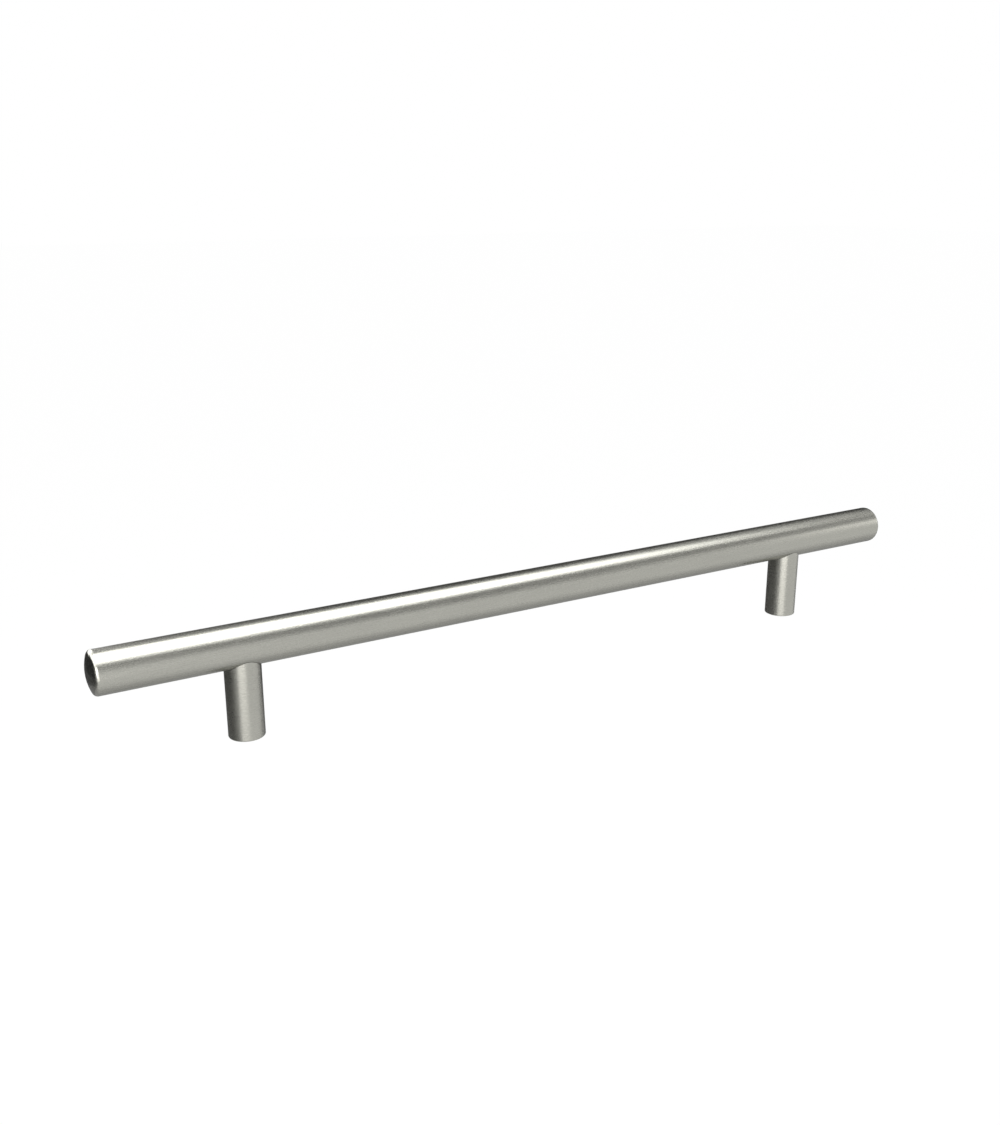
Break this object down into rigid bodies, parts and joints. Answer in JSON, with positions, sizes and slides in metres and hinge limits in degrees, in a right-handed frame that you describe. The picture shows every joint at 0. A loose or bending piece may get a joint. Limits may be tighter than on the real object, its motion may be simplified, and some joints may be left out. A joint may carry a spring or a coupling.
{
  "type": "cabinet pull",
  "caption": "Straight round bar pull with softly crowned ends, carried on coped round posts that are tapped from the base for fixing screws.",
  "frame": {"origin": "centre of the mounting plane, half-way between the two posts", "axes": "+X along the bar, from the left post to the right post; +Y across the bar; +Z away from the door, from the post bases to the bar"},
  "size_m": [0.272, 0.012, 0.032],
  "materials": {
    "bar_steel": "satin steel, finely brushed along the bar",
    "post_steel": "satin steel, finely brushed",
    "stud_steel": "plain machined steel"
  },
  "bodies": {
    "root": {"bar": "bar_steel", "post_left": "post_steel", "post_right": "post_steel", "joining_stud_left": "stud_steel", "joining_stud_right": "stud_steel"}
  },
  "joints": []
}
